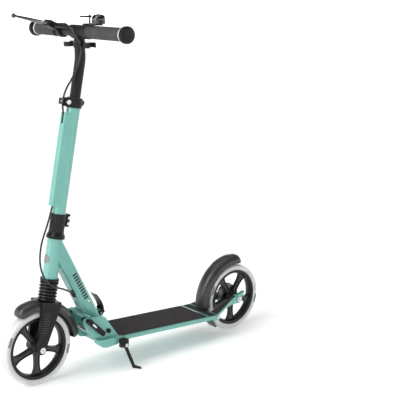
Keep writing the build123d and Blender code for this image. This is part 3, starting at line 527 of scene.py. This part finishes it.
def rim(name, place, body, slot_node, drum):
    shape = bmesh.new()
    lathe(shape, [(74.5, -10), (75.6, -12.2), (77.2, -13), (82.8, -13), (83.7, -12.7), (84, -12), (84, 12),
                  (83.7, 12.7), (82.8, 13), (77.2, 13), (75.6, 12.2), (74.5, 10), (72.9, 6), (72.5, 0),
                  (72.9, -6)], 160)
    lathe(shape, [(11, -17), (15.6, -17), (16.6, -16.4), (17, -15.4), (17, -8.5), (18.2, -7), (19.6, -6.2), (20, -5),
                  (20, 5), (19.6, 6.2), (18.2, 7), (17, 8.5), (17, 15.4), (16.6, 16.4), (15.6, 17), (11, 17)], 96)
    arm = spoke()
    for face in arm.faces:
        face.material_index = 0
    arm.transform(Matrix.Rotation(math.radians(90), 4, "Y"))
    take_in(shape, repeated(arm, spokes, rim_plastic, turn=(0, math.radians(spoke_turn), 0)), 0)
    for face in shape.faces:
        middle = face.calc_center_median()
        reach = math.hypot(middle.x, middle.z)
        if 20.5 < reach < 73.5 and abs(middle.y) < 3.3 and abs(face.normal.y) > 0.5:
            face.material_index = 1
    if drum:
        lathe(shape, [(26, 5), (34, 5), (34, 9), (33.2, 9.6), (33.2, 11), (34, 11.6), (34, 18.6), (33.4, 19.6),
                      (32.4, 20), (27, 20), (26, 19.4)], 96, material=2)
    hang(name, made_mesh(name, shape, place, (rim_plastic, web_plastic, cast_drum)), body, (slot_node,))


tyre("front_tyre_shell", front_wheel, "front_wheel", "front_tyre")
tyre("rear_tyre_shell", rear_wheel, "rear_wheel", "rear_tyre")
rim("front_rim_casting", front_wheel, "front_wheel", "front_rim", False)
rim("rear_rim_casting", rear_wheel, "rear_wheel", "rear_rim", True)


# ---------------------------------------------------------------- mudguards
def arch(radius, half, rise, power, steps):
    """The arched section of a mudguard: (share across, y, distance from the axle) from one lip to the other."""
    points = []
    for k in range(steps + 1):
        angle = math.pi * (k / steps - 0.5)
        y = half * math.copysign(abs(math.sin(angle)) ** (2 / power), math.sin(angle))
        points.append((2 * k / steps - 1, y, radius + rise * abs(math.cos(angle)) ** (2 / power)))
    return points


def mudguard(shape, start, end, inner=104.0, rise=24.0, half=24.0, wall=2.5, power=2.5, steps=44, across=28,
             dome=None):
    """A curved shell round a wheel, between two ends that are given as functions of the place across it.

    dome is the angle of a closed, rounded end and how many degrees the rounding takes."""
    def closing(degrees):
        if dome is None or abs(degrees - dome[0]) >= dome[1]:
            return 1.0
        return math.sqrt(max(0.0, 1 - (1 - abs(degrees - dome[0]) / dome[1]) ** 2))

    outside = arch(inner, half, rise, power, across)
    inside = arch(inner, half - wall, rise - wall, power, across)
    grids = []
    for section in (outside, inside):
        rows = []
        for i in range(steps + 1):
            row = []
            for share, y, r in section:
                low, high = start(share, r), end(share, r)
                degrees = low + (high - low) * i / steps
                angle, share_left = math.radians(degrees), closing(degrees)
                reach, wide = inner + (r - inner) * (0.12 + 0.88 * share_left), y * (0.55 + 0.45 * share_left)
                row.append(shape.verts.new((reach * math.cos(angle), wide, reach * math.sin(angle))))
            rows.append(row)
        grids.append(rows)
    outer, inner_rows = grids
    for rows in grids:
        for i in range(steps):
            for k in range(across):
                shape.faces.new((rows[i][k], rows[i][k + 1], rows[i + 1][k + 1], rows[i + 1][k]))
    for k in range(across):
        for i in (0, steps):
            shape.faces.new((outer[i][k], outer[i][k + 1], inner_rows[i][k + 1], inner_rows[i][k]))
    for i in range(steps):
        for k in (0, across):
            shape.faces.new((outer[i][k], outer[i + 1][k], inner_rows[i + 1][k], inner_rows[i][k]))


def rounded(amount):
    return lambda share: amount * (1 - math.sqrt(max(0.0, 1 - share * share)))


shape = bmesh.new()
nose_round, tail_round = rounded(3.0), rounded(2.0)
mudguard(shape, lambda share, r: math.degrees(math.acos(-18.6 / r)) - rake,
         lambda share, r: 121 - nose_round(share), dome=(121, 12))
mudguard(shape, lambda share, r: 3 + tail_round(share), lambda share, r: math.degrees(math.acos(40.6 / r)) - rake,
         dome=(3, 8))
hang("front_mudguard", made_mesh("front_mudguard", shape, front_wheel, (fender_plastic,)), "fork", ("front_fender",))


def arc_bar(shape, inner, outer, half, low, high, steps=16, material=0):
    """A curved bar with a square section round a wheel."""
    rings = []
    corners = (inner, -half), (outer, -half), (outer, half), (inner, half)
    for i in range(steps + 1):
        angle = math.radians(low + (high - low) * i / steps)
        c, s = math.cos(angle), math.sin(angle)
        rings.append([Vector((r * c, y, r * s)) for r, y in corners])
    skin(shape, rings, around=False, closed=True, material=material)


axle_on_deck = deck.inverted() @ rear_axle
rear_guard_place = deck @ Matrix.Translation((axle_on_deck.x, 0, axle_on_deck.z))
pin = Vector((394.5 - axle_on_deck.x, 0, -28.0 - axle_on_deck.z))
pin_angle = 180 + math.degrees(math.atan2(-pin.z, -pin.x))
shape = bmesh.new()
tip_round = rounded(3.0)
mudguard(shape, lambda share, r: 80 + tip_round(share), lambda share, r: 187.0, inner=107.0, steps=60, dome=(80, 9))
arc_bar(shape, 104, 129.5, 14.5, 183, 187, 4)
arc_bar(shape, 104, 108.5, 14.5, 183, pin_angle)
arc_bar(shape, 103.2, 107.2, 14.5, pin_angle, 232, 20)
arc_bar(shape, 105.5, 129.5, 14, 96, 124, 14)
for step in range(3):
    arc_bar(shape, 101.6, 103.4, 12.5, 200 + step * 11, 204 + step * 11, 3)
lathe(shape, [(3.05, -14.5), (5.5, -14.5), (5.5, 14.5), (3.05, 14.5)], 40, centre=pin)
for side in (-1, 1):
    rib = bmesh.new()
    low, high = on_side(side, 22.6, 24.0)
    brick(rib, (108.5, low, -0.9), (123.0, high, 0.9), 0.3)
    rib_middle = Matrix.Translation((115, 0, 0))
    rib.transform(rib_middle @ Matrix.Rotation(math.radians(34), 4, "Y") @ rib_middle.inverted())
    rib.transform(Matrix.Rotation(math.radians(-118), 4, "Y"))
    take_in(shape, repeated(rib, 6, fender_plastic, turn=(0, math.radians(-4.2), 0)), 0)
hang("rear_mudguard", made_mesh("rear_mudguard", shape, rear_guard_place, (fender_plastic,)), "rear_fender",
     ("rear_fender",))

# ---------------------------------------------------------------- fork: bellows, spring and leg marks
shape = bmesh.new()
folds, low, high = 6, crown_top + 0.2, cup_bottom - bellows_gap
outside, inside = [], []
for k in range(folds * 8 + 1):
    height = low + (high - low) * k / (folds * 8)
    swell = 0.5 - 0.5 * math.cos(2 * math.pi * k / 8)
    outside.append((20.6 + 4.4 * swell ** 0.7, height))
    inside.append((19.2 + 4.2 * swell ** 0.7, height))
lathe(shape, outside + inside[::-1], 72, along="Z")
bellows = hang("fork_bellows_sleeve", made_mesh("fork_bellows_sleeve", shape, column, (bellows_rubber,), 80), "fork",
               ("fork_bellows",))
shape = bmesh.new()
low, high, turns = crown_top + 2.4, cup_bottom - spring_seat, 6
coil = [Vector((16.8 * math.cos(2 * math.pi * k / 28), 16.8 * math.sin(2 * math.pi * k / 28),
                low + (high - low) * k / (28 * turns))) for k in range(28 * turns + 1)]
tube_along(shape, coil, 1.6, 10)
spring = hang("fork_spring_coil", made_mesh("fork_spring_coil", shape, column, (spring_steel,)), "fork",
              ("suspension_spring",))
for soft_piece, height in ((bellows, cup_bottom - crown_top - bellows_gap),
                           (spring, cup_bottom - spring_seat - crown_top)):
    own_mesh(soft_piece)

# rows of small raised marks on the outer faces of the fork legs
shape = bmesh.new()
for side in (-1, 1):
    for x, count in ((-15.5, 9), (-9.0, 10), (-2.5, 9)):
        mark = bmesh.new()
        low, high = on_side(side, 28.8, 29.35)
        brick(mark, (x - 1.9, low, 94), (x + 1.9, high, 95.6), 0.2)
        take_in(shape, repeated(mark, count, fender_plastic, step=(-0.35, 0, -6.2)), 0)
leg_marks = finish("fork_leg_marks", (0.05, 0.05, 0.052), (0.065, 0.065, 0.068), 0.35, grain=0.2)
hang("fork_leg_marks", made_mesh("fork_leg_marks", shape, column, (leg_marks,)), "fork")

# ---------------------------------------------------------------- grips and end caps
def grip(name, side, start, body, slot_node):
    end, wall = bar_half - 22, 12.7
    outline = [(wall, start), (16.9, start), (17.6, start + 0.8), (17.6, start + 2.6), (16.6, start + 3.6)]
    y = start + 4.5
    while y < end - 6:
        outline += [(15.7, y), (16.1, y + 0.5), (16.45, y + 1.2), (16.45, y + 2.8), (16.1, y + 3.5)]
        y += 4.6
    outline += [(15.7, end - 3.2), (16.5, end - 2.4), (16.5, end), (wall, end)]
    shape = bmesh.new()
    lathe(shape, [(r, side * h) for r, h in outline], 64)
    hang(name, made_mesh(name, shape, bar, (soft_grip,), 50), body, (slot_node,))


def end_cap(name, side, body, slot_node):
    ring, head = bar_half - 18, bar_half - 14
    outline = [(12.8, ring), (17.2, ring), (17.5, ring + 0.5), (17.5, head - 0.6), (17.0, head), (19.6, head),
               (20.6, head + 0.6), (21, head + 1.6), (21, head + 4.0), (20.2, head + 4.5), (20.2, head + 5.5),
               (21, head + 6.0), (21, head + 9.6), (20.2, head + 11.8), (18.4, head + 13.3), (15.5, head + 14.0),
               (0.4, head + 14.0), (0.4, head + 8.2), (12.8, head + 8.2)]
    shape = bmesh.new()
    lathe(shape, [(r, side * h) for r, h in outline], 72)
    lathe(shape, [(12.8, side * (ring - 4)), (16.6, side * (ring - 4)), (17.3, side * (ring - 3.4)),
                  (17.3, side * (ring - 0.6)), (16.6, side * ring), (12.8, side * ring)], 72, material=1)
    hang(name, made_mesh(name, shape, bar, (black_plastic, pale_ring)), body, (slot_node,))


grip("left_grip_sleeve", -1, left_grip_start, "left_bar", "left_grip")
grip("right_grip_sleeve", 1, right_grip_start, "right_bar", "right_grip")
end_cap("left_end_cap", -1, "left_bar", "left_grip_cap")
end_cap("right_end_cap", 1, "right_bar", "right_grip_cap")

# ---------------------------------------------------------------- bell and brake lever end
shape = bmesh.new()
lathe(shape, [(0.3, 45), (4, 44.9), (8, 44.3), (11.5, 43.0), (14.4, 40.8), (16.2, 38.0), (17.1, 34.8), (17.4, 31.0),
              (17.4, 28.4), (17.0, 27.9), (17.0, 27.1), (17.5, 26.6), (17.5, 22.0), (17.0, 21.2), (15.9, 21.2),
              (16.1, 31), (15.2, 36.8), (12.5, 40.6), (8, 42.8), (0.3, 43.5)], 72, along="Z", centre=(7, -75, 0))
hang("bell_cup", made_mesh("bell_cup", shape, bar, (gloss_black,), 50), "left_bar", ("bell_dome",))

shape = bmesh.new()
ball = bmesh.ops.create_uvsphere(shape, u_segments=32, v_segments=20, radius=6.5)["verts"]
bmesh.ops.translate(shape, verts=ball, vec=(82, 190, 0))
lathe(shape, [(2.6, -4.6), (6.6, -4.6), (7.4, -3.8), (7.4, 3.8), (6.6, 4.6), (2.6, 4.6)], 40, along="Z",
      centre=(40, 88, 0))
rings = []
for x, y, wide, thick in ((41, 90, 5.6, 4.2), (45, 98, 6.8, 4.6), (49, 108, 7.4, 4.8), (54, 120, 7.6, 4.8),
                          (60, 134, 7.2, 4.6), (66, 149, 6.3, 4.2), (71.5, 163, 5.2, 3.8), (76, 174, 4.2, 3.5),
                          (80, 184, 3.4, 3.2), (82, 189, 3.2, 3.0)):
    across = Vector((0.92, -0.39, 0))
    rings.append([Vector((x, y, 0)) + across * wide * math.cos(2 * math.pi * k / 20) + Vector(
        (0, 0, thick * math.copysign(abs(math.sin(2 * math.pi * k / 20)) ** 0.8, math.sin(2 * math.pi * k / 20))))
        for k in range(20)])
skin(shape, rings, around=False, closed=True)
hang("brake_lever_blade", made_mesh("brake_lever_blade", shape, lever, (gloss_black,), 60), "brake_lever",
     ("brake_lever",))

# ---------------------------------------------------------------- small marks and fittings on the frame
# thin dark teal lines down each side of the down tube: painted shade along the seam
shape = bmesh.new()
for side in (-1, 1):
    low, high = on_side(side, 19.9, 20.15)
    brick(shape, (-17.6, low, 52), (-17.0, high, 196))
hang("down_tube_lines", made_mesh("down_tube_lines", shape, tube, (seam_shadow,)), "front_frame")

shape = bmesh.new()
for side in (-1, 1):
    bar_mark = bmesh.new()
    low, high = on_side(side, 19.9, 20.15)
    brick(bar_mark, (-7.5, low, 104), (6.5, high, 109.4), 0.1)
    take_in(shape, repeated(bar_mark, 10, dark_ink, step=(0, 0, 8.7)), 0)
hang("down_tube_bars", made_mesh("down_tube_bars", shape, tube, (dark_ink,)), "front_frame")

shape = bmesh.new()
for side in (-1, 1):
    outline = [(0.3, 22.0), (1.6, 21.9), (3.0, 21.4), (3.8, 20.6), (4.0, 19.8), (0.3, 19.8)]
    lathe(shape, [(r, side * h) for r, h in outline], 40, centre=(2, 0, 92))
hang("down_tube_rivets", made_mesh("down_tube_rivets", shape, tube, (bright_steel,)), "front_frame")

shape = bmesh.new()
brick(shape, (32.2, -60.5, deck_top - 0.1), (35.2, 60.5, deck_top + 0.9), 0.3)
brick(shape, (350.6, -60.5, deck_top - 0.1), (352.2, 60.5, deck_top + 0.5), 0.15)
hang("tape_edge_strips", made_mesh("tape_edge_strips", shape, deck, (bright_steel,)), "deck")

# a bright steel strip on the lock lever, put there as a painted highlight
lever_way = Vector((44, 0, -39)).normalized()
cam_place = deck @ place_at((-68, -60.5, 38), lever_way, (-lever_way.z, 0, lever_way.x))
shape = bmesh.new()
brick(shape, (11, -3.4, -2.6), (27, -2.8, 2.2), 0.25)
hang("lock_lever_highlight_strip", made_mesh("lock_lever_highlight_strip", shape, cam_place, (bright_steel,)), "lock_lever")

# the kickstand's bracket: a clevis with a plate on top
shape = bmesh.new()
brick(shape, (27, -79, -30.2), (50, -half_deck, -24), 1.2)
for low_y in (-79, -66.4):
    brick(shape, (31, low_y, -46), (50, low_y + 1.6, -28), 0.5)
brick(shape, (27, -79, -46), (30, -65, -26), 0.8)
hang("kickstand_clevis", made_mesh("kickstand_clevis", shape, deck, (black_paint,)), "deck", ("kickstand_bracket",))

# the crossbar that bears on both halves of the lock rod, and the cable's gland
shape = bmesh.new()
brick(shape, (-33.5, -44, 61), (-23.8, 44, 72.5), 2.0)
for face in shape.faces:
    face.material_index = 0
brick(shape, (-32, -20, 131), (-24, -9.2, 149), 1.6, material=1)
brick(shape, (-30, -18.4, 127), (-24, -10.8, 131.4), 1.0, material=1)
hang("down_tube_crossbar", made_mesh("down_tube_crossbar", shape, tube, (mint_paint, black_plastic)), "front_frame",
     ("down_tube_fittings",))

# the release pedal: a curved blade with a raised lip, between two ears on its pin
shape = bmesh.new()
rings = []
for x, z, half, thick in ((24, 24, 11, 3.2), (30, 31, 12, 3.2), (33.6, 40, 13, 3.0), (35.2, 50, 13, 2.8),
                          (35.4, 60, 13, 2.6), (34.6, 70, 13, 2.4), (33.4, 79, 13, 2.2), (32.2, 86, 12, 2.0),
                          (31.8, 88, 10.5, 1.8)):
    rings.append([Vector((x - thick / 2, y, z)) for y in (-half, -half * 0.5, 0, half * 0.5, half)] + [
        Vector((x + thick / 2 + lift, y, z)) for y, lift in ((half, 0.9), (half * 0.5, 0), (0, 0), (-half * 0.5, 0),
                                                            (-half, 0.9))])
skin(shape, rings, around=False, closed=True)
for low_y in (-12, 8.2):
    lathe(shape, [(3.06, low_y), (6.5, low_y), (6.5, low_y + 3.8), (3.06, low_y + 3.8)], 32, centre=(22, 0, 30))
    brick(shape, (27, low_y, 26), (34, low_y + 3.8, 42), 0.8)
hang("release_pedal_blade", made_mesh("release_pedal_blade", shape, tube, (black_plastic,), 50), "release_pedal",
     ("release_pedal",))

# ribs along the release pedal
shape = bmesh.new()
tread = bmesh.new()
brick(tread, (35.6, -9.5, 54.5), (37.4, 9.5, 56.3), 0.4)
take_in(shape, repeated(tread, 7, black_plastic, step=(-0.42, 0, 4.0)), 0)
hang("release_pedal_ribs", made_mesh("release_pedal_ribs", shape, tube, (black_plastic,)), "release_pedal")

# ---------------------------------------------------------------- brake cable
boot_start, boot_end = Vector((30, 67, 0)), Vector((25, 12, 0))
boot_ahead = boot_end + (boot_end - boot_start).normalized() * 12
upper_route = [metres(lever, boot_end), metres(lever, boot_ahead)] + [metres(column, point) for point in (
    (-37.5, -9, 815), (-29, -16, 801), (-16, -17.5, 784), (-12, -16.5, 765), (-12, -15, 745),
    (-15.5, -12, 720), (-24, -7, 694), (-32, -3, 672), (-35, 0, 652), (-35.5, 0, 634), (-29.5, 0, 612),
    (-23, 0, 592), (-22.5, 0, 570), (-22.5, 0, 385), (-25, -1, 358), (-33, -4, 321), (-43.8, -9, 291.5),
    (-50.4, -14, 264),
    (-53, -22, 231), (-47, -30, 204), (-33, -36, 182), (-14, -38, 170), (5, -36, 166), (27, -32, 161))] + [
    metres(tube, (-37.3, -24, 158.4)), metres(tube, (-29.5, -19.5, 147))]
lower_route = [metres(tube, point) for point in (
    (-29.5, -19.5, 147), (-20.4, -14.25, 133.7), (-9, -10, 112), (-8, -8, 62), (-11, -5, 40), (-17, 0, 22))] + [
    metres(deck, point) for point in (
        (-27, 5, 1), (-27, 11, -16), (-15, 17, -27.5), (8, 21.5, -29.5), (30, 22, -29), (340, 22, -28),
        (368, 21.5, -26), (394.5, 20.5, -21.8), (420, 20, -17.5), (441.5, 18.2, -14.5))]


def smooth_line(name, route):
    """The smooth curve of a cable whose route is given, as a list of points in millimetres."""
    data = bpy.data.curves.new(name, "CURVE")
    data.dimensions = "3D"
    data.resolution_u = 8
    spline = data.splines.new("NURBS")
    spline.points.add(len(route) - 1)
    for spot, point in zip(spline.points, route):
        spot.co = (*point, 1)
    spline.order_u = 3
    spline.use_endpoint_u = True
    line = bpy.data.objects.new(name, data)
    bpy.context.scene.collection.objects.link(line)
    bpy.context.view_layer.update()
    plain = bpy.data.meshes.new_from_object(line.evaluated_get(bpy.context.evaluated_depsgraph_get()))
    points = [vert.co * 1000 for vert in plain.vertices]
    bpy.data.objects.remove(line)
    bpy.data.meshes.remove(plain)
    return points


def cable_pieces(label, route, node_name, parts):
    """Cuts a cable where it passes from one moving body to the next. Each part ends at a route point."""
    line = smooth_line(label, route)
    first = 0
    for name, last_point, bodies in parts:
        target = route[last_point] * 1000
        last = min(range(first + 2, len(line)), key=lambda i: (line[i] - target).length)
        if last_point == len(route) - 1:
            last = len(line) - 1
        stretch = line[first:last + 1]
        shape = bmesh.new()
        tube_along(shape, stretch, cable_radius, 14)
        mesh = made_mesh(name, shape, Matrix.Identity(4), (cable_black,), 60)
        if len(bodies) == 1:
            hang(name, mesh, bodies[0], (node_name,))
        else:
            piece = hang(name, mesh, None, (node_name,))
            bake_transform(piece)
        first = last


cable_pieces("cable_upper", upper_route, "brake_cable_upper", (
    ("brake_cable_at_bar", 3, ("right_bar", "handlebar")),
    ("brake_cable_beside_stem", 10, ("handlebar", "steerer")),
    ("brake_cable_in_channel", 17, ("steerer",)),
    ("brake_cable_loop", len(upper_route) - 1, ("steerer", "front_frame"))))
cable_pieces("cable_lower", lower_route, "brake_cable_lower", (
    ("brake_cable_in_tube", 4, ("front_frame",)),
    ("brake_cable_at_fold", 8, ("front_frame", "deck")),
    ("brake_cable_under_deck", len(lower_route) - 1, ("deck",))))
